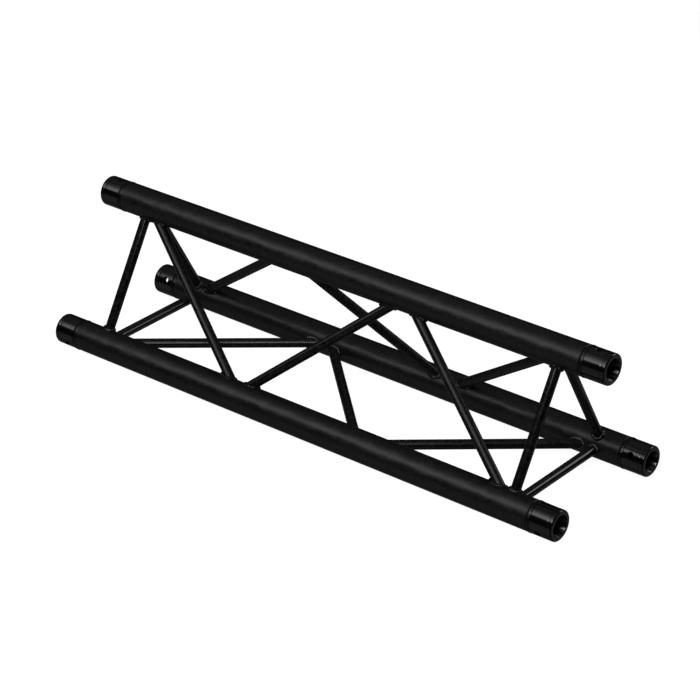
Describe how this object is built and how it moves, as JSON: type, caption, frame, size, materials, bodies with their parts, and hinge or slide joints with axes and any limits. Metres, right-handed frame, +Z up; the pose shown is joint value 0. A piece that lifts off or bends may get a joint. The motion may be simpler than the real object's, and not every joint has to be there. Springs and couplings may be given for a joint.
{
  "type": "lighting truss section",
  "caption": "Straight triangular lighting truss section: chord tubes laced by welded braces, with tapered coupler sockets and pin holes at both ends.",
  "frame": {"origin": "middle of the bounding box at its lowest level, so the two lower chords stand on Z = 0 under the middle of the section", "axes": "+X along the section towards its right end, +Y from the front chord to the rear chord, +Z up through the single top chord"},
  "size_m": [1, 0.29, 0.2578],
  "materials": {
    "chord_coat": "satin black powder coat on extruded aluminium tube",
    "brace_coat": "semi-gloss black powder coat on drawn aluminium tube",
    "receiver_coat": "gloss black powder coat on a machined aluminium receiver",
    "weld_coat": "semi-gloss black powder coat over a rippled aluminium weld bead"
  },
  "bodies": {
    "root": {"top_chord": "chord_coat", "top_receiver_left": "receiver_coat", "top_seam_weld_left": "weld_coat", "top_receiver_right": "receiver_coat", "top_seam_weld_right": "weld_coat", "front_end_strut_left": "brace_coat", "front_end_strut_left_weld_top": "weld_coat", "front_end_strut_left_weld_front": "weld_coat", "front_diagonal_left": "brace_coat", "front_diagonal_left_weld_top": "weld_coat", "front_diagonal_left_weld_front": "weld_coat", "front_diagonal_middle": "brace_coat", "front_diagonal_middle_weld_top": "weld_coat", "front_diagonal_middle_weld_front": "weld_coat", "front_diagonal_right": "brace_coat", "front_diagonal_right_weld_top": "weld_coat", "front_diagonal_right_weld_front": "weld_coat", "front_end_strut_right": "brace_coat", "front_end_strut_right_weld_top": "weld_coat", "front_end_strut_right_weld_front": "weld_coat", "front_chord": "chord_coat", "front_receiver_left": "receiver_coat", "front_seam_weld_left": "weld_coat", "front_receiver_right": "receiver_coat", "front_seam_weld_right": "weld_coat", "bottom_end_strut_left": "brace_coat", "bottom_end_strut_left_weld_front": "weld_coat", "bottom_end_strut_left_weld_rear": "weld_coat", "bottom_diagonal_left": "brace_coat", "bottom_diagonal_left_weld_front": "weld_coat", "bottom_diagonal_left_weld_rear": "weld_coat", "bottom_diagonal_middle": "brace_coat", "bottom_diagonal_middle_weld_front": "weld_coat", "bottom_diagonal_middle_weld_rear": "weld_coat", "bottom_diagonal_right": "brace_coat", "bottom_diagonal_right_weld_front": "weld_coat", "bottom_diagonal_right_weld_rear": "weld_coat", "bottom_end_strut_right": "brace_coat", "bottom_end_strut_right_weld_front": "weld_coat", "bottom_end_strut_right_weld_rear": "weld_coat", "rear_chord": "chord_coat", "rear_receiver_left": "receiver_coat", "rear_seam_weld_left": "weld_coat", "rear_receiver_right": "receiver_coat", "rear_seam_weld_right": "weld_coat", "back_end_strut_left": "brace_coat", "back_end_strut_left_weld_rear": "weld_coat", "back_end_strut_left_weld_top": "weld_coat", "back_diagonal_left": "brace_coat", "back_diagonal_left_weld_rear": "weld_coat", "back_diagonal_left_weld_top": "weld_coat", "back_diagonal_middle": "brace_coat", "back_diagonal_middle_weld_rear": "weld_coat", "back_diagonal_middle_weld_top": "weld_coat", "back_diagonal_right": "brace_coat", "back_diagonal_right_weld_rear": "weld_coat", "back_diagonal_right_weld_top": "weld_coat", "back_end_strut_right": "brace_coat", "back_end_strut_right_weld_rear": "weld_coat", "back_end_strut_right_weld_top": "weld_coat"}
  },
  "joints": []
}
